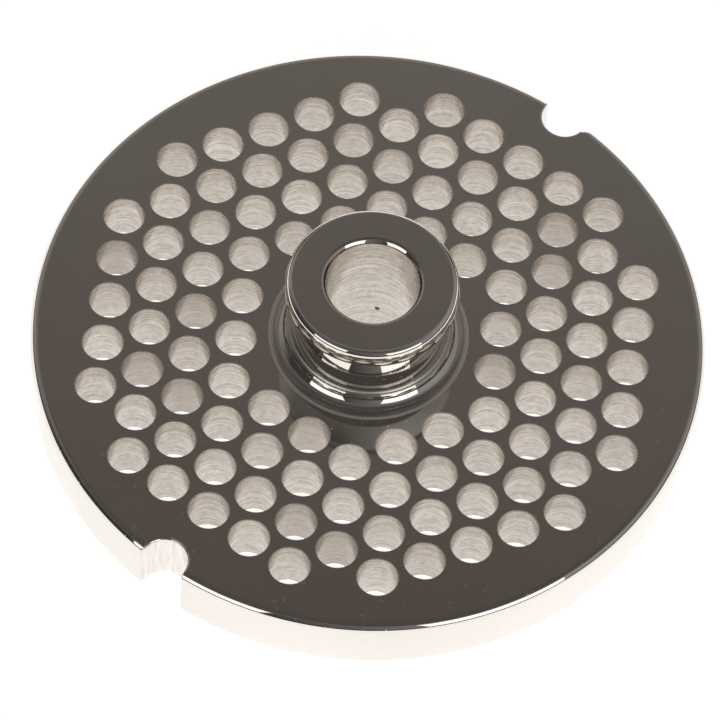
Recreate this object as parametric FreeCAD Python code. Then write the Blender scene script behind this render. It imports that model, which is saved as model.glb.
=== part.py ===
"""Meat grinder plate with a hub: one piece of steel, turned, drilled, notched and polished.

Millimetres, +Z up. The origin is the bore's centre on the flat knife face underneath, the hub
stands up along +Z, the rows of holes run along X, and the two rim notches lie at +Y and -Y.
"""
import FreeCAD, Part

import math
import os

os.makedirs("parts", exist_ok=True)

# the disc
plate_diameter = 70.0
plate_thickness = 6.7
rim_top_round = 0.6

# the hub, with a straight waist above the foot fillet, then a flare and a softly crowned top
hub_diameter = 18.1
hub_height = 10.3
hub_top_round = 0.5
crown_radius = 5.8
flare_lean = 11.0
flare_radius = 9.8
waist_height = 2.3
foot_height = 2.2
foot_fillet = 1.85
foot_step = 1.6
foot_toe = 0.55

# the bore through the hub, for the worm's stud
stud_diameter = 9.5
stud_clearance = 0.1
bore_mouth_round = 0.5
bore_bottom_chamfer = 0.3

# the holes, in close-packed rows centred on the bore
hole_diameter = 4.2
hole_pitch = 5.2
foot_land = 0.8
notch_land = 0.6

# the two rim notches, with a round bottom and flanks that open towards the rim
notch_depth = 3.0
notch_bottom_radius = 2.3
notch_flank_lean = 10.0
notch_edge_round = 0.25

# how far a cutting tool runs past the metal
run_out = 1.0

plate_radius = plate_diameter / 2
hub_radius = hub_diameter / 2
bore_diameter = stud_diameter + stud_clearance
bore_radius = bore_diameter / 2
hole_radius = hole_diameter / 2
hub_top = plate_thickness + hub_height
foot_level = plate_thickness + foot_height
flare_level = foot_level + waist_height
crown_level = hub_top - hub_top_round

# the straight run between the flare and the crown, which sets how far in the waist lies
flare_angle = math.radians(flare_lean)
flare_end_level = flare_level + flare_radius * math.sin(flare_angle)
crown_end_level = crown_level - crown_radius * math.sin(flare_angle)
crown_end_radius = hub_radius - crown_radius * (1 - math.cos(flare_angle))
straight_run = (crown_end_level - flare_end_level) * math.tan(flare_angle)
flare_end_radius = crown_end_radius - straight_run
waist_radius = flare_end_radius - flare_radius * (1 - math.cos(flare_angle))
foot_step_radius = waist_radius + foot_step
foot_radius = foot_step_radius + foot_toe


def section_point(radius, height):
    """A point of the turned section, which is drawn in the XZ plane."""
    return FreeCAD.Vector(radius, 0, height)


def closed_face(curves):
    """The face inside a closed run of curves."""
    return Part.Face(Part.Wire([curve.toShape() for curve in curves]))


def turned(curves):
    """The solid that a closed section makes when it is turned round the Z axis."""
    return closed_face(curves).revolve(FreeCAD.Vector(0, 0, 0), FreeCAD.Vector(0, 0, 1), 360)


def rings(shape, radius, height):
    """The circular edges of a shape that lie at one radius and height."""
    return [
        edge
        for edge in shape.Edges
        if isinstance(edge.Curve, Part.Circle)
        and abs(edge.Curve.Radius - radius) < 1e-6
        and abs(edge.Curve.Center.z - height) < 1e-6
    ]


def turned_blank():
    """Disc, hub, foot and bore, with every turned edge rounded or broken."""
    fillet_centre = section_point(waist_radius + foot_fillet, foot_level)
    step_run = fillet_centre.x - foot_step_radius
    step_level = foot_level - math.sqrt(foot_fillet ** 2 - step_run ** 2)
    fillet_turn = math.asin((foot_level - step_level) / foot_fillet) / 2
    fillet_middle = fillet_centre - section_point(
        foot_fillet * math.cos(fillet_turn), foot_fillet * math.sin(fillet_turn)
    )

    waist_foot = section_point(waist_radius, foot_level)
    waist_top = section_point(waist_radius, flare_level)
    flare_middle = waist_top + section_point(
        flare_radius * (1 - math.cos(flare_angle / 2)), flare_radius * math.sin(flare_angle / 2)
    )
    flare_end = section_point(flare_end_radius, flare_end_level)
    crown_end = section_point(crown_end_radius, crown_end_level)
    crown_top = section_point(hub_radius, crown_level)
    crown_middle = crown_top - section_point(
        crown_radius * (1 - math.cos(flare_angle / 2)), crown_radius * math.sin(flare_angle / 2)
    )
    step = section_point(foot_step_radius, step_level)
    toe = section_point(foot_radius, plate_thickness)
    step_height = step_level - plate_thickness
    toe_radius = (foot_toe ** 2 + step_height ** 2) / (2 * step_height)
    toe_turn = math.asin(foot_toe / toe_radius) / 2
    toe_middle = toe + section_point(
        -toe_radius * math.sin(toe_turn), toe_radius * (1 - math.cos(toe_turn))
    )

    bore_top = section_point(bore_radius, hub_top)
    bore_bottom = section_point(bore_radius, 0)
    rim_bottom = section_point(plate_radius, 0)
    rim_top = section_point(plate_radius, plate_thickness)
    hub_edge = section_point(hub_radius - hub_top_round, hub_top)
    hub_round_middle = section_point(hub_radius - hub_top_round, crown_level) + section_point(
        hub_top_round * math.sqrt(0.5), hub_top_round * math.sqrt(0.5)
    )
    blank = turned([
        Part.LineSegment(bore_top, bore_bottom),
        Part.LineSegment(bore_bottom, rim_bottom),
        Part.LineSegment(rim_bottom, rim_top),
        Part.LineSegment(rim_top, toe),
        Part.Arc(toe, toe_middle, step),
        Part.Arc(step, fillet_middle, waist_foot),
        Part.LineSegment(waist_foot, waist_top),
        Part.Arc(waist_top, flare_middle, flare_end),
        Part.LineSegment(flare_end, crown_end),
        Part.Arc(crown_end, crown_middle, crown_top),
        Part.Arc(crown_top, hub_round_middle, hub_edge),
        Part.LineSegment(hub_edge, bore_top),
    ])
    blank = blank.makeFillet(rim_top_round, rings(blank, plate_radius, plate_thickness))
    blank = blank.makeFillet(bore_mouth_round, rings(blank, bore_radius, hub_top))
    return blank.makeChamfer(bore_bottom_chamfer, rings(blank, bore_radius, 0))


def notch_tool():
    """The milled shape of one rim notch, at +Y and right through the disc."""
    lean = math.radians(notch_flank_lean)
    bottom = FreeCAD.Vector(0, plate_radius - notch_depth, -run_out)
    centre = bottom + FreeCAD.Vector(0, notch_bottom_radius, 0)
    right = centre + FreeCAD.Vector(math.cos(lean), -math.sin(lean), 0) * notch_bottom_radius
    flank = notch_depth / math.cos(lean)
    right_end = right + FreeCAD.Vector(math.sin(lean), math.cos(lean), 0) * flank
    left = FreeCAD.Vector(-right.x, right.y, right.z)
    left_end = FreeCAD.Vector(-right_end.x, right_end.y, right_end.z)
    outline = closed_face([
        Part.LineSegment(left_end, left),
        Part.Arc(left, bottom, right),
        Part.LineSegment(right, right_end),
        Part.LineSegment(right_end, left_end),
    ])
    return outline.extrude(FreeCAD.Vector(0, 0, plate_thickness + 2 * run_out))


def hole_centres():
    """The places in the close-packed rows that clear the foot of the hub and the notches."""
    nearest = foot_radius + foot_land + hole_radius
    furthest = plate_radius - notch_depth - notch_land - hole_radius
    row_step = hole_pitch * math.sqrt(3) / 2
    last_row = int(furthest / row_step)
    last_place = int(furthest / hole_pitch) + 1
    centres = []
    for row in range(-last_row, last_row + 1):
        stagger = hole_pitch / 2 if row % 2 else 0
        for place in range(-last_place, last_place + 1):
            centre = FreeCAD.Vector(place * hole_pitch + stagger, row * row_step, 0)
            if nearest <= centre.Length <= furthest:
                centres.append(centre)
    return centres


def notched(blank):
    """The blank with both rim notches milled and every edge of theirs rounded."""
    tool = notch_tool()
    other_tool = tool.rotated(FreeCAD.Vector(0, 0, 0), FreeCAD.Vector(0, 0, 1), 180)
    tools = [tool, other_tool]
    plate = blank.cut(tools)
    edges = [edge for edge in plate.Edges for cutter in tools if borders(edge, cutter)]
    return plate.makeFillet(notch_edge_round, edges)


def borders(edge, cutter):
    """Whether an edge was left by a cutter, which it then lies within."""
    reach = cutter.BoundBox
    reach.enlarge(notch_edge_round)
    return reach.isInside(edge.BoundBox)


def grinder_plate():
    """The whole plate: the turned blank, notched and drilled."""
    drill = Part.makeCylinder(
        hole_radius, plate_thickness + 2 * run_out, FreeCAD.Vector(0, 0, -run_out)
    )
    return notched(turned_blank()).cut([drill.translated(centre) for centre in hole_centres()])


grinder_plate().exportStep("parts/grinder_plate.step")
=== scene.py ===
"""A meat grinder plate of polished steel, with its hub up, on a white table in soft studio light.

Shapes are made in millimetres and brought to metres at the end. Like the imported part, the plate
lies on its flat knife face at height 0, with the bore on the Z axis and the hub pointing up.
"""

import math
import random

import bmesh
import bpy
from mathutils import Matrix, Quaternion, Vector


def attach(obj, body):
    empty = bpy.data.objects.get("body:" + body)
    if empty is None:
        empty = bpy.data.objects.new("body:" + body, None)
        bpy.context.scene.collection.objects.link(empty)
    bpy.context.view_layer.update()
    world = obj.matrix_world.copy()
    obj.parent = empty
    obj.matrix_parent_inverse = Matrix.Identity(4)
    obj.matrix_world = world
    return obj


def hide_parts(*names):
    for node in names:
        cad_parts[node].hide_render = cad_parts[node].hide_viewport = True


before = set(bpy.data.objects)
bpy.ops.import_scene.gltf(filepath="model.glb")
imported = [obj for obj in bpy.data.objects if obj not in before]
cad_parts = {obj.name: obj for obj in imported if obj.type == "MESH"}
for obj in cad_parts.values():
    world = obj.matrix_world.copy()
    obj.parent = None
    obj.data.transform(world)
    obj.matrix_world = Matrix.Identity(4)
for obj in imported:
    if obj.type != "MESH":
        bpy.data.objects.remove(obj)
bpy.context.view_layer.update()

# the disc, in millimetres. The round of an edge is a list of bends from the wall up to the flat:
# how far up each one ends, in degrees, and its radius.
PLATE_RADIUS = 35.0
PLATE_THICKNESS = 6.7
RIM_BENDS = [(30, 0.8), (45, 1.3), (90, 0.8)]
RIM_BREAK = 0.1

# the hub, from its crease at the foot to its top edge. Its wall leans out above the waist.
HUB_TOP = 17.0
NECK_RADIUS = 8.27
NECK_LEVEL = 8.52
WAIST_LEAN = math.radians(-1.5)
WAIST_TOP = 11.54
WAIST_BEND = 2.0
FLARE_LEANS = (math.radians(11.7), math.radians(14.6))
FLARE_BEND = 58.0
CROWN_BEND = 3.5
HUB_BENDS = [(24, 2.0), (40, 1.1), (49, 0.3), (57, 2.0), (90, 0.3)]

# the foot: a low step up from the disc with a bead on it, a flat land, a thin raised line, then a
# fillet and the crease where that meets the hub
FOOT_RADIUS = 10.46
STEP_RADIUS = 10.12
STEP_RISE = 0.07
BEAD_RADIUS = 9.82
BEAD_WIDTH = 0.26
BEAD_RISE = 0.075
LAND_RADIUS = 9.36
LAND_RISE = 0.13
LINE_WIDTH = 0.12
LINE_RISE = 0.025
FOOT_FILLET = 1.9
CREASE_HEIGHT = 0.2
CREASE_WIDTH = 0.16
CREASE_UNDERCUT = 0.01

# the bore
BORE_RADIUS = 4.8
MOUTH_BENDS = [(30, 0.4), (45, 1.3), (90, 0.4)]
BORE_BREAK = 0.3

# the drilled holes, in close-packed rows. FOOT_LAND and NOTCH_LAND are the least metal that is
# left beside them.
HOLE_RADIUS = 2.1
HOLE_BREAK = 0.1
HOLE_PITCH = 5.2
FOOT_LAND = 0.8
NOTCH_LAND = 0.6

# the row and the place of each hole that came out duller, how dull its wall is from 0 to 1, and the
# most that the other walls have
DULL_HOLES = [
    (-5, 1), (-5, 2), (-4, -3), (-4, -2), (-3, 0), (-2, -5), (-2, -3), (1, 2), (4, 2), (5, 1),
]
DULL_WALL = 0.55
OTHER_WALLS = 0.3

# the two rim notches. The shoulders are the rounds where the rear notch meets the rim on its right
# and its left, and then the front notch, each on its own right and left as seen from the bore.
NOTCH_DEPTH = 3.0
NOTCH_RADIUS = 2.3
NOTCH_LEAN = math.radians(10)
NOTCH_ROUND = 0.35
SHOULDERS = [1.5, 0.3, 0.3, 0.4]
LEAST_SHOULDER = 0.05

# the table, in metres, and how brightly it shows
TABLE_RADIUS = 0.13
TABLE_LEVEL = -0.00002
TABLE_GLOW = 0.88

# how many flat pieces make up a whole turn of the hub and of a hole, half the rim, a notch's bottom
# and its shoulder, and each arc of the hub's section
TURN_STEPS = 192
HOLE_STEPS = 48
RIM_STEPS = 176
NOTCH_STEPS = 40
SHOULDER_STEPS = 8
TOE_STEPS = 8
BEAD_STEPS = 6
FILLET_STEPS = 20
WAIST_STEPS = 8
FLARE_STEPS = 12
CROWN_STEPS = 12
BEND_STEPS = 6

# the slots of the plate's materials. The last is a satin finish whose pale colour paints the
# highlight lines of small edges.
POLISHED, DRILLED, MILLED, SATIN_PAINTED_HIGHLIGHT = range(4)

# what tells where a face belongs: how far its normal points up at most on a wall, and at least on a
# satin hub edge with its painted highlight and on a flat, how deep that edge reaches, half the width
# of a milled notch, and how far the face's middle may lie off a size
WALL_UP = 0.3
EDGE_UP = 0.85
FLAT_UP = 0.99
EDGE_DEPTH = 0.3
MILLED_HALF_WIDTH = 2.6
CLOSE = 0.01
LOOSE = 0.05

# the camera, in metres and millimetres of lens, and the two softboxes
LENS = 364.19
EYE = Vector((0.21415, -0.33036, 0.64970))
TARGET = Vector((0.00125, -0.00311, 0.0067))
ROLL = math.radians(4.81)
SOFTBOX_AZIMUTHS = {"softbox_left": math.radians(-7), "softbox_right": math.radians(73)}
SOFTBOX_ELEVATION = math.radians(18)
SOFTBOX_DISTANCE = 1.2
SOFTBOX_WIDTH = 0.8
SOFTBOX_HEIGHT = 0.55
SOFTBOX_RADIANCE = 1.2

MILLIMETRE = 0.001
ORIGIN = Vector((0, 0, 0))
UP = Vector((0, 0, 1))
SECTION_AXIS = Vector((0, 1, 0))


def line_to(bm, vert, point):
    """Draws an edge from a vertex to a point and returns the new vertex."""
    new = bmesh.ops.extrude_vert_indiv(bm, verts=[vert])["verts"][0]
    new.co = point
    return new


def arc_to(bm, vert, centre, axis, turn, steps):
    """Swings a vertex round a centre, which draws an arc, and returns all the new vertices."""
    before = len(bm.verts)
    bmesh.ops.spin(
        bm, geom=[vert], cent=centre, axis=axis, angle=turn, steps=steps, use_merge=False,
    )
    bm.verts.ensure_lookup_table()
    return [bm.verts[index] for index in range(before, before + steps)]


def section(radius, height):
    """A point of a turned section, in the XZ plane."""
    return Vector((radius, 0, height))


def kept_mesh(name, bm):
    """Puts a finished bit of modelling into a mesh of its own."""
    mesh = bpy.data.meshes.new(name)
    bm.to_mesh(mesh)
    bm.free()
    return mesh


def swept(bm, vert, lean, next_lean, bend, steps):
    """An arc of the hub's wall that goes from one outward lean to the next."""
    side = -1 if next_lean > lean else 1
    centre = vert.co - section(math.cos(lean), -math.sin(lean)) * bend * side
    return arc_to(bm, vert, centre, SECTION_AXIS, next_lean - lean, steps)


def bead(bm, vert, width, rise):
    """A fine raised line on a flat, drawn inwards from a vertex of the section."""
    radius = (width ** 2 / 4 + rise ** 2) / (2 * rise)
    centre = vert.co - section(width / 2, radius - rise)
    return arc_to(bm, vert, centre, SECTION_AXIS, -2 * math.asin(width / 2 / radius), BEAD_STEPS)


def bent(bends, turn):
    """How far in and how far up the round of an edge has come where it faces this far up."""
    inward = upward = done = 0
    for end, radius in bends:
        here = min(turn, math.radians(end))
        inward += radius * (math.cos(done) - math.cos(here))
        upward += radius * (math.sin(here) - math.sin(done))
        done = here
    return inward, upward


def hub_wall(bm, vert):
    """A straight waist, a slightly hollow flare, a soft crown and the round of the top edge."""
    low, high = FLARE_LEANS
    rise = WAIST_TOP - vert.co.z
    point = vert.co + section(rise * math.tan(WAIST_LEAN), rise)
    verts = [line_to(bm, vert, point)]
    verts += swept(bm, verts[-1], WAIST_LEAN, low, WAIST_BEND, WAIST_STEPS)
    verts += swept(bm, verts[-1], low, high, FLARE_BEND, FLARE_STEPS)
    crown_level = HUB_TOP - bent(HUB_BENDS, math.pi / 2)[1]
    rise = crown_level - CROWN_BEND * math.sin(high) - verts[-1].co.z
    point = verts[-1].co + section(rise * math.tan(high), rise)
    verts.append(line_to(bm, verts[-1], point))
    verts += swept(bm, verts[-1], high, 0, CROWN_BEND, CROWN_STEPS)
    lean = 0
    for end, radius in HUB_BENDS:
        verts += swept(bm, verts[-1], lean, -math.radians(end), radius, BEND_STEPS)
        lean = -math.radians(end)
    return verts


def foot(bm, vert):
    """The low step, the bead, the land and its line, then the fillet and the crease above it."""
    toe = FOOT_RADIUS - STEP_RADIUS
    toe_radius = (toe ** 2 + STEP_RISE ** 2) / (2 * STEP_RISE)
    toe_centre = section(FOOT_RADIUS, PLATE_THICKNESS + toe_radius)
    verts = arc_to(bm, vert, toe_centre, SECTION_AXIS, math.asin(toe / toe_radius), TOE_STEPS)
    step = PLATE_THICKNESS + STEP_RISE
    verts.append(line_to(bm, verts[-1], section(BEAD_RADIUS + BEAD_WIDTH, step)))
    verts += bead(bm, verts[-1], BEAD_WIDTH, BEAD_RISE)
    land = PLATE_THICKNESS + LAND_RISE
    verts.append(line_to(bm, verts[-1], section(LAND_RADIUS + LINE_WIDTH, land)))
    verts += bead(bm, verts[-1], LINE_WIDTH, LINE_RISE)
    centre = section(NECK_RADIUS + FOOT_FILLET, NECK_LEVEL)
    turn = math.acos((centre.x - LAND_RADIUS) / FOOT_FILLET)
    start = centre - section(math.cos(turn), math.sin(turn)) * FOOT_FILLET
    verts.append(line_to(bm, verts[-1], start))
    verts += arc_to(bm, verts[-1], centre, SECTION_AXIS, turn, FILLET_STEPS)
    low = verts[-1].co + section(CREASE_WIDTH, CREASE_UNDERCUT)
    high = verts[-1].co + section(0, CREASE_HEIGHT)
    for share in (0, 0.15, 0.85, 1):
        verts.append(line_to(bm, verts[-1], low.lerp(high, share)))
    return verts


def spun(name, bm, steps):
    """Swings a section once round the Z axis and keeps it as a mesh, open at both its ends."""
    bmesh.ops.spin(
        bm, geom=bm.verts[:] + bm.edges[:], cent=ORIGIN, axis=UP, angle=2 * math.pi,
        steps=steps, use_merge=True,
    )
    return kept_mesh(name, bm)


def turned_middle():
    """Foot, hub and bore, from the disc's top face to its underside."""
    bm = bmesh.new()
    vert = bm.verts.new(section(FOOT_RADIUS, PLATE_THICKNESS))
    vert = foot(bm, vert)[-1]
    vert = hub_wall(bm, vert)[-1]
    inward, upward = bent(MOUTH_BENDS, math.pi / 2)
    vert = line_to(bm, vert, section(BORE_RADIUS + inward, HUB_TOP))
    for turn in range(84, -1, -6):
        inward, rise = bent(MOUTH_BENDS, math.radians(turn))
        vert = line_to(bm, vert, section(BORE_RADIUS + inward, HUB_TOP - upward + rise))
    vert = line_to(bm, vert, section(BORE_RADIUS, BORE_BREAK))
    line_to(bm, vert, section(BORE_RADIUS + BORE_BREAK, 0))
    return spun("turned_middle", bm, TURN_STEPS)


def outline(bm, rim_inset, notch_inset, rim_level, notch_level):
    """One closed line round the disc and through both notches. Returns its edges."""
    lean = Vector((math.cos(NOTCH_LEAN), -math.sin(NOTCH_LEAN)))
    along = Vector((math.sin(NOTCH_LEAN), math.cos(NOTCH_LEAN)))
    radius = PLATE_RADIUS - rim_inset
    bottom_centre = Vector((0, PLATE_RADIUS - NOTCH_DEPTH + NOTCH_RADIUS))
    flank = bottom_centre + lean * (NOTCH_RADIUS + notch_inset)

    def shoulder(size):
        """The centre of a round that touches the right flank and the rim from inside."""
        start = flank + lean * size
        reach = radius - size
        part = start.dot(along)
        return start + along * (math.sqrt(part ** 2 - start.length_squared + reach ** 2) - part)

    def place(point, side, back):
        """A plan point of the rear notch's right side, mirrored or turned to where it is used."""
        x, y = point.x * side, point.y
        return Vector((x, y, 0)) if back else Vector((-x, -y, 0))

    sizes = [max(LEAST_SHOULDER, size - max(rim_inset, notch_inset)) for size in SHOULDERS]
    centres = [shoulder(size) for size in sizes]
    sweeps = [math.acos(min(1, -lean.dot(centre.normalized()))) for centre in centres]

    # each vertex has a share, from 0 at the rim's level to 1 at the notch's
    verts = [bm.verts.new(place(centres[0].normalized() * radius, 1, True))]
    shares = [0]
    entering = [(step + 1) / SHOULDER_STEPS for step in range(SHOULDER_STEPS)]

    def swung(centre, turn, new_shares):
        """Goes on along an arc, with a share for each of its vertices."""
        verts.extend(arc_to(bm, verts[-1], centre, UP, turn, len(new_shares)))
        shares.extend(new_shares)

    def straight(point):
        """Goes on along a flank, at the notch's level."""
        verts.append(line_to(bm, verts[-1], point))
        shares.append(1)

    for back, right, left, following in ((True, 0, 1, 2), (False, 2, 3, 0)):
        # the notch, from its right side to its left as seen from the bore
        swung(place(centres[right], 1, back), sweeps[right], entering)
        straight(place(flank, 1, back))
        swung(place(bottom_centre, 1, back), 2 * NOTCH_LEAN - math.pi, [1] * NOTCH_STEPS)
        straight(place(centres[left] - lean * sizes[left], -1, back))
        leaving = [1 - share for share in entering]
        swung(place(centres[left], -1, back), sweeps[left], leaving)
        # the rim, on to the next notch
        here = verts[-1].co
        there = place(centres[following].normalized(), 1, not back)
        turn = math.atan2(there.y, there.x) - math.atan2(here.y, here.x)
        swung(ORIGIN, turn % (2 * math.pi), [0] * RIM_STEPS)
    for vert, share in zip(verts, shares):
        vert.co.z = rim_level + (notch_level - rim_level) * share
    bmesh.ops.remove_doubles(bm, verts=[verts[0], verts[-1]], dist=1e-3)
    edges = [edge for vert in verts if vert.is_valid for edge in vert.link_edges]
    return list(dict.fromkeys(edges))


def rim():
    """The rim wall with its rounded top and broken bottom edge, notches included."""
    bm = bmesh.new()
    rings = [
        outline(bm, RIM_BREAK, RIM_BREAK, 0, 0),
        outline(bm, 0, 0, RIM_BREAK, RIM_BREAK),
    ]
    rim_height = bent(RIM_BENDS, math.pi / 2)[1]
    for turn in range(0, 91, 9):
        inset, rise = bent(RIM_BENDS, math.radians(turn))
        notch_inset, notch_rise = bent([(90, NOTCH_ROUND)], math.radians(turn))
        level = PLATE_THICKNESS - rim_height + rise
        notch_level = PLATE_THICKNESS - NOTCH_ROUND + notch_rise
        rings.append(outline(bm, inset, notch_inset, level, notch_level))
    for lower, upper in zip(rings, rings[1:]):
        bmesh.ops.bridge_loops(bm, edges=lower + upper)
    return kept_mesh("rim", bm)


def hole_centres():
    """The places in the close-packed rows that clear the foot of the hub and the notches.

    Each comes with how dull its wall is, from 0 to 1.
    """
    nearest = FOOT_RADIUS + FOOT_LAND + HOLE_RADIUS
    furthest = PLATE_RADIUS - NOTCH_DEPTH - NOTCH_LAND - HOLE_RADIUS
    row_step = HOLE_PITCH * math.sqrt(3) / 2
    luck = random.Random(7)
    centres = []
    for row in range(-6, 7):
        stagger = HOLE_PITCH / 2 if row % 2 else 0
        for place in range(-7, 8):
            centre = Vector((place * HOLE_PITCH + stagger, row * row_step, 0))
            if nearest <= centre.length <= furthest:
                usual = (row, place) not in DULL_HOLES
                centres.append((centre, luck.uniform(0, OTHER_WALLS) if usual else DULL_WALL))
    return centres


def drilled_hole():
    """One hole's wall on the Z axis, with a tiny round break at its top and bottom edge."""
    half = HOLE_BREAK * (1 - math.sqrt(0.5))
    drops = [0, half, HOLE_BREAK]
    growths = [HOLE_BREAK, half, 0]
    tops = [section(HOLE_RADIUS + g, PLATE_THICKNESS - d) for g, d in zip(growths, drops)]
    feet = [section(HOLE_RADIUS + g, d) for g, d in zip(drops, growths)]
    bm = bmesh.new()
    vert = bm.verts.new(tops[0])
    for point in tops[1:] + feet:
        vert = line_to(bm, vert, point)
    return spun("drilled_hole", bm, HOLE_STEPS)


def close_face(bm, level, facing):
    """Fills the flat face at one level, round every hole in it."""
    edges = [
        edge for edge in bm.edges
        if len(edge.link_faces) < 2 and all(abs(v.co.z - level) < 1e-4 for v in edge.verts)
    ]
    bmesh.ops.triangle_fill(bm, use_beauty=True, edges=edges, normal=(0, 0, facing))


def settle_order(bm):
    """Puts vertices and faces in a fixed order, since a spin leaves its faces in another each run."""
    for rank, vert in enumerate(sorted(bm.verts, key=lambda vert: vert.co[:])):
        vert.index = rank
    bm.verts.sort()
    ranked = sorted(bm.faces, key=lambda face: sorted(vert.index for vert in face.verts))
    for rank, face in enumerate(ranked):
        face.index = rank
    bm.faces.sort()


def plate_mesh():
    """The whole plate as one closed shell."""
    bm = bmesh.new()
    bm.from_mesh(turned_middle())
    bm.from_mesh(rim())
    dullness = bm.verts.layers.float.new("dullness")
    hole = drilled_hole()
    here = ORIGIN
    for centre, dull in hole_centres():
        hole.transform(Matrix.Translation(centre - here))
        here = centre
        before = len(bm.verts)
        bm.from_mesh(hole)
        bm.verts.ensure_lookup_table()
        for vert in bm.verts[before:]:
            vert[dullness] = dull
    close_face(bm, PLATE_THICKNESS, 1)
    close_face(bm, 0, -1)
    bmesh.ops.remove_doubles(bm, verts=bm.verts[:], dist=1e-4)
    settle_order(bm)
    bmesh.ops.recalc_face_normals(bm, faces=bm.faces[:])
    for face in bm.faces:
        face.smooth = True
        face.material_index = finish_of(face)
    bmesh.ops.scale(bm, vec=(MILLIMETRE,) * 3, verts=bm.verts[:])
    normals = true_normals(bm)
    mesh = kept_mesh("grinder_plate_polished", bm)
    mesh.normals_split_custom_set_from_vertices(normals)
    return mesh


def finish_of(face):
    """The material slot of a face, from where it lies and how far it faces up."""
    middle = face.calc_center_median()
    out = middle.xy.length
    up = face.normal.z
    among_holes = FOOT_RADIUS < out < PLATE_RADIUS - NOTCH_DEPTH + LOOSE
    on_step = STEP_RADIUS < out < FOOT_RADIUS and middle.z > PLATE_THICKNESS + CLOSE / 10
    on_crease = (
        NECK_RADIUS - CLOSE < out < NECK_RADIUS + CREASE_WIDTH
        and NECK_LEVEL + CREASE_UNDERCUT < middle.z < NECK_LEVEL + CREASE_HEIGHT
    )
    on_top = middle.z > HUB_TOP - EDGE_DEPTH and out > NECK_RADIUS
    on_hub_edge = EDGE_UP < up < FLAT_UP and on_top
    on_hole_edge = WALL_UP < up < FLAT_UP and among_holes
    # the step, crease, hub top edge and hole edges get the satin finish, whose pale colour paints
    # their highlight lines
    if on_step or on_crease or on_hub_edge or on_hole_edge:
        return SATIN_PAINTED_HIGHLIGHT
    if abs(up) > WALL_UP:
        return POLISHED
    if out < BORE_RADIUS + CLOSE:
        return DRILLED
    in_notch = PLATE_RADIUS - NOTCH_DEPTH - LOOSE < out < PLATE_RADIUS - LOOSE
    if in_notch and abs(middle.x) < MILLED_HALF_WIDTH:
        return MILLED
    return DRILLED if among_holes else POLISHED


def true_normals(bm):
    """One normal for each vertex: the flats stay flat, and large faces outweigh small ones."""
    normals = []
    for vert in bm.verts:
        normal = Vector((0, 0, 0))
        for face in vert.link_faces:
            normal += face.normal * face.calc_area()
            if abs(face.normal.z) > 0.99999:
                normal = Vector((0, 0, math.copysign(1, face.normal.z)))
                break
        normals.append(normal.normalized())
    return normals


class Value:
    """A node's output that takes part in plain arithmetic."""

    def __init__(self, graph, socket):
        self.graph = graph
        self.socket = socket

    def math(self, operation, *values):
        return self.graph.node("ShaderNodeMath", {"operation": operation}, *values)

    def __add__(self, other):
        return self.math("ADD", self, other)

    __radd__ = __add__

    def __mul__(self, other):
        return self.math("MULTIPLY", self, other)

    __rmul__ = __mul__

    def __gt__(self, other):
        return self.math("GREATER_THAN", self, other)


class Graph:
    """A node tree that is built up one node at a time."""

    def __init__(self, tree):
        self.tree = tree
        tree.nodes.clear()

    def node(self, kind, settings, *values, output=0, **named):
        """Adds a node. Its settings come first, then its inputs by place or by name."""
        node = self.tree.nodes.new(kind)
        for key, value in settings.items():
            if key == "stops":
                self.ramp(node.color_ramp, value)
            else:
                setattr(node, key, value)
        inputs = dict(enumerate(values))
        inputs.update((name.replace("_", " "), value) for name, value in named.items())
        for key, value in inputs.items():
            if isinstance(value, Value):
                self.tree.links.new(value.socket, node.inputs[key])
            else:
                node.inputs[key].default_value = value
        return Value(self, node.outputs[output]) if len(node.outputs) else None

    def ramp(self, ramp, stops):
        """Sets a ramp's stops, each of which holds a value and a grey or a colour."""
        while len(ramp.elements) < len(stops):
            ramp.elements.new(1.0)
        for element, (position, color) in zip(ramp.elements, stops):
            element.position = position
            element.color = color if isinstance(color, tuple) else (color, color, color, 1)

    def shades(self, value, *stops):
        """A colour for each value, read from a ramp."""
        return self.node("ShaderNodeValToRGB", {"stops": stops}, value)

    def mix(self, factor, first, second):
        """A colour between two others."""
        return self.node(
            "ShaderNodeMix", {"data_type": "RGBA"}, Factor=factor, A=first, B=second,
            output="Result",
        )

    def noise(self, place, scale, detail):
        """Noise from 0 to 1 over a place."""
        return self.node(
            "ShaderNodeTexNoise", {}, Vector=place, Scale=scale, Detail=detail, output="Fac",
        )

    def dot(self, way, other):
        """How far a direction goes along another."""
        return self.node(
            "ShaderNodeVectorMath", {"operation": "DOT_PRODUCT"}, way, other, output="Value",
        )


def new_material(name):
    material = bpy.data.materials.new(name)
    material.use_nodes = True
    return material, Graph(material.node_tree)


def polished_steel():
    """Mirror polish with a breath of unevenness, a few hairline scratches and specks of dust."""
    material, g = new_material("polished_steel")
    place = g.node("ShaderNodeTexCoord", {}, output="Object")
    haze = g.noise(place, 80, 4)
    specks = g.noise(place, 1900, 1)
    drawn = g.node(
        "ShaderNodeMapping", {}, Vector=place, Rotation=(0, 0, 0.5), Scale=(60, 3500, 300)
    )
    scratches = g.noise(drawn, 1.0, 1)
    patches = g.noise(place, 140, 1)
    marks = (specks > 0.73) * 0.3 + (scratches > 0.71) * (patches > 0.55) * 0.12
    tint = g.shades(haze, (0.35, (0.84, 0.79, 0.74, 1)), (0.65, (0.88, 0.83, 0.78, 1)))
    shader = g.node(
        "ShaderNodeBsdfPrincipled", {}, Base_Color=tint, Metallic=1.0,
        Roughness=0.02 + 0.03 * haze + marks,
    )
    g.node("ShaderNodeOutputMaterial", {}, shader)
    return material


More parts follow.
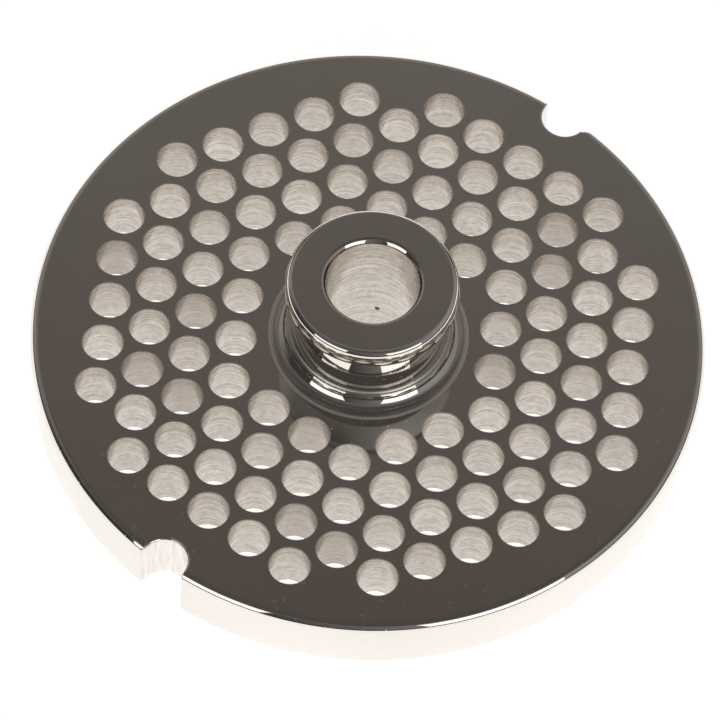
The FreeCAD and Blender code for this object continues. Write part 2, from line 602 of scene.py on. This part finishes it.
def drilled_steel():
    """Drilled walls with uneven feed rings round them. Some holes came out duller."""
    material, g = new_material("drilled_steel")
    place = g.node("ShaderNodeTexCoord", {}, output="Object")
    dullness = g.node("ShaderNodeAttribute", {"attribute_name": "dullness"}, output="Fac")
    tilted = g.node(
        "ShaderNodeMapping", {}, Vector=place, Rotation=(0.05, 0.03, 0), Scale=(150, 150, 13000)
    )
    rings = g.noise(tilted, 1.0, 2)
    broken = g.noise(place, 1500, 2)
    feed = rings + 0.35 * broken
    bright = g.shades(feed, (0.5, (0.40, 0.36, 0.315, 1)), (0.85, (0.80, 0.735, 0.665, 1)))
    tint = g.mix(dullness, bright, (0.38, 0.32, 0.27, 1))
    reach = g.node(
        "ShaderNodeVectorMath", {"operation": "DISTANCE"}, place, (-0.00202, 0.00435, 0.00410),
        output="Value",
    )
    tint = g.mix(reach + 0.0003 * broken > 0.00045, (0.08, 0.07, 0.065, 1), tint)
    bump = g.node("ShaderNodeBump", {}, Strength=0.8, Distance=0.00003, Height=feed)
    shader = g.node(
        "ShaderNodeBsdfPrincipled", {}, Base_Color=tint, Metallic=1.0,
        Roughness=0.05 + 0.12 * rings + 0.15 * dullness, Normal=bump,
    )
    g.node("ShaderNodeOutputMaterial", {}, shader)
    return material


def milled_steel():
    """The notch walls, bright with faint streaks from top to bottom."""
    material, g = new_material("milled_steel")
    place = g.node("ShaderNodeTexCoord", {}, output="Object")
    upright = g.node("ShaderNodeMapping", {}, Vector=place, Scale=(3500, 3500, 250))
    streaks = g.noise(upright, 1.0, 3)
    tint = g.shades(streaks, (0.35, (0.76, 0.71, 0.66, 1)), (0.6, (0.90, 0.85, 0.80, 1)))
    bump = g.node("ShaderNodeBump", {}, Strength=0.4, Distance=0.00002, Height=streaks)
    shader = g.node(
        "ShaderNodeBsdfPrincipled", {}, Base_Color=tint, Metallic=1.0,
        Roughness=0.12 + 0.1 * streaks, Normal=bump,
    )
    g.node("ShaderNodeOutputMaterial", {}, shader)
    return material


def satin_steel_painted_highlight():
    """Satin edges of step, crease, hub top and holes, dull in polish, whose pale, half non-metal
    colour paints their bright highlight lines.
    """
    material, g = new_material("satin_steel_painted_highlight")
    place = g.node("ShaderNodeTexCoord", {}, output="Object")
    grain = g.noise(place, 1200, 3)
    # the near-white colour with a low metallic is painted highlight: it keeps these small edges
    # bright as highlight lines
    tint = g.shades(grain, (0.35, (0.90, 0.86, 0.81, 1)), (0.65, (0.97, 0.93, 0.88, 1)))
    shader = g.node(
        "ShaderNodeBsdfPrincipled", {}, Base_Color=tint, Metallic=0.55,
        Roughness=0.3 + 0.1 * grain,
    )
    g.node("ShaderNodeOutputMaterial", {}, shader)
    return material


def table():
    """A wide white table top that still takes the plate's soft shadow."""
    bm = bmesh.new()
    bmesh.ops.create_circle(bm, cap_ends=True, segments=96, radius=TABLE_RADIUS)
    mesh = kept_mesh("table_top", bm)
    top = bpy.data.objects.new("table_top", mesh)
    top.location.z = TABLE_LEVEL
    bpy.context.collection.objects.link(top)
    material, g = new_material("white_table")
    seen = g.node("ShaderNodeLightPath", {}, output="Is Camera Ray")
    for ray in ("Is Glossy Ray", "Is Transmission Ray"):
        other = g.node("ShaderNodeLightPath", {}, output=ray)
        seen = seen.math("MAXIMUM", seen, other)
    matt = g.node("ShaderNodeBsdfDiffuse", {}, Color=(0.85, 0.85, 0.85, 1))
    white = g.node("ShaderNodeEmission", {}, Color=(1, 1, 1, 1), Strength=seen * TABLE_GLOW)
    both = g.node("ShaderNodeAddShader", {}, matt, white)
    g.node("ShaderNodeOutputMaterial", {}, both)
    mesh.materials.append(material)


def studio():
    """A dim warm ceiling over a ring of walls: dark at the left, paler at the right and rear."""
    world = bpy.data.worlds.new("studio")
    bpy.context.scene.world = world
    world.use_nodes = True
    g = Graph(world.node_tree)
    way = g.node("ShaderNodeTexCoord", {}, output="Generated")
    height = g.node("ShaderNodeSeparateXYZ", {}, way, output="Z")
    across = g.dot(way, (0.796, 0.604, 0))
    behind = g.dot(way, (-0.544, 0.839, 0))
    ceiling = g.shades(
        height,
        (0.0, 0.03), (0.6, 0.17), (0.8, (0.155, 0.144, 0.137, 1)),
        (0.831, (0.136, 0.126, 0.120, 1)), (0.873, (0.086, 0.075, 0.067, 1)),
        (1.0, (0.080, 0.070, 0.062, 1)),
    )
    front = g.shades(height, (0.0, 0.03), (0.6, 0.15), (0.8, 0.06), (1.0, (0.08, 0.07, 0.062, 1)))
    ceiling = g.mix(g.shades(behind, (0.0, 0.0), (0.3, 1.0)), front, ceiling)
    walls = g.shades(
        0.5 * across + 0.5, (0.0, 0.04), (0.3, 0.05), (0.5, 0.12), (0.8, 0.24), (1.0, 0.28)
    )
    walls = g.mix(g.shades(behind, (0.0, 0.0), (0.45, 1.0)), walls, (0.24, 0.228, 0.216, 1))
    low = g.shades(height, (0.08, 0.0), (0.11, 1.0), (0.5, 1.0), (0.72, 0.0))
    room = g.node("ShaderNodeBackground", {}, Color=g.mix(low, ceiling, walls), Strength=1.0)
    white = g.node("ShaderNodeBackground", {}, Color=(1, 1, 1, 1), Strength=1.0)
    seen = g.node("ShaderNodeLightPath", {}, output="Is Camera Ray")
    mix = g.node("ShaderNodeMixShader", {}, seen, room, white)
    g.node("ShaderNodeOutputWorld", {}, mix)


def softbox(name, azimuth):
    """A square studio lamp aimed at the plate. Azimuth 0 is in front, and 90 is to the right."""
    lamp = bpy.data.lights.new(name, "AREA")
    lamp.shape = "RECTANGLE"
    lamp.size = SOFTBOX_WIDTH
    lamp.size_y = SOFTBOX_HEIGHT
    lamp.energy = SOFTBOX_RADIANCE * math.pi * SOFTBOX_WIDTH * SOFTBOX_HEIGHT
    box = bpy.data.objects.new(name, lamp)
    rise, reach = math.sin(SOFTBOX_ELEVATION), math.cos(SOFTBOX_ELEVATION)
    way = Vector((math.sin(azimuth) * reach, -math.cos(azimuth) * reach, rise))
    box.location = way * SOFTBOX_DISTANCE
    box.rotation_euler = way.to_track_quat("Z", "Y").to_euler()
    bpy.context.collection.objects.link(box)


def camera():
    """A long lens over the front right of the plate, turned a little to the left."""
    data = bpy.data.cameras.new("camera")
    data.lens = LENS
    data.sensor_width = 36
    data.clip_end = 20
    view = bpy.data.objects.new("camera", data)
    turn = (EYE - TARGET).to_track_quat("Z", "Y") @ Quaternion(UP, ROLL)
    view.location = EYE
    view.rotation_euler = turn.to_euler()
    bpy.context.collection.objects.link(view)
    bpy.context.scene.camera = view


mesh = plate_mesh()
for finish in (polished_steel, drilled_steel, milled_steel, satin_steel_painted_highlight):
    mesh.materials.append(finish())
plate = bpy.data.objects.new("grinder_plate_polished", mesh)
bpy.context.collection.objects.link(plate)
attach(plate, "root")
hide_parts("grinder_plate")

table()
studio()
for name, azimuth in SOFTBOX_AZIMUTHS.items():
    softbox(name, azimuth)
camera()
bpy.context.scene.view_settings.view_transform = "Standard"
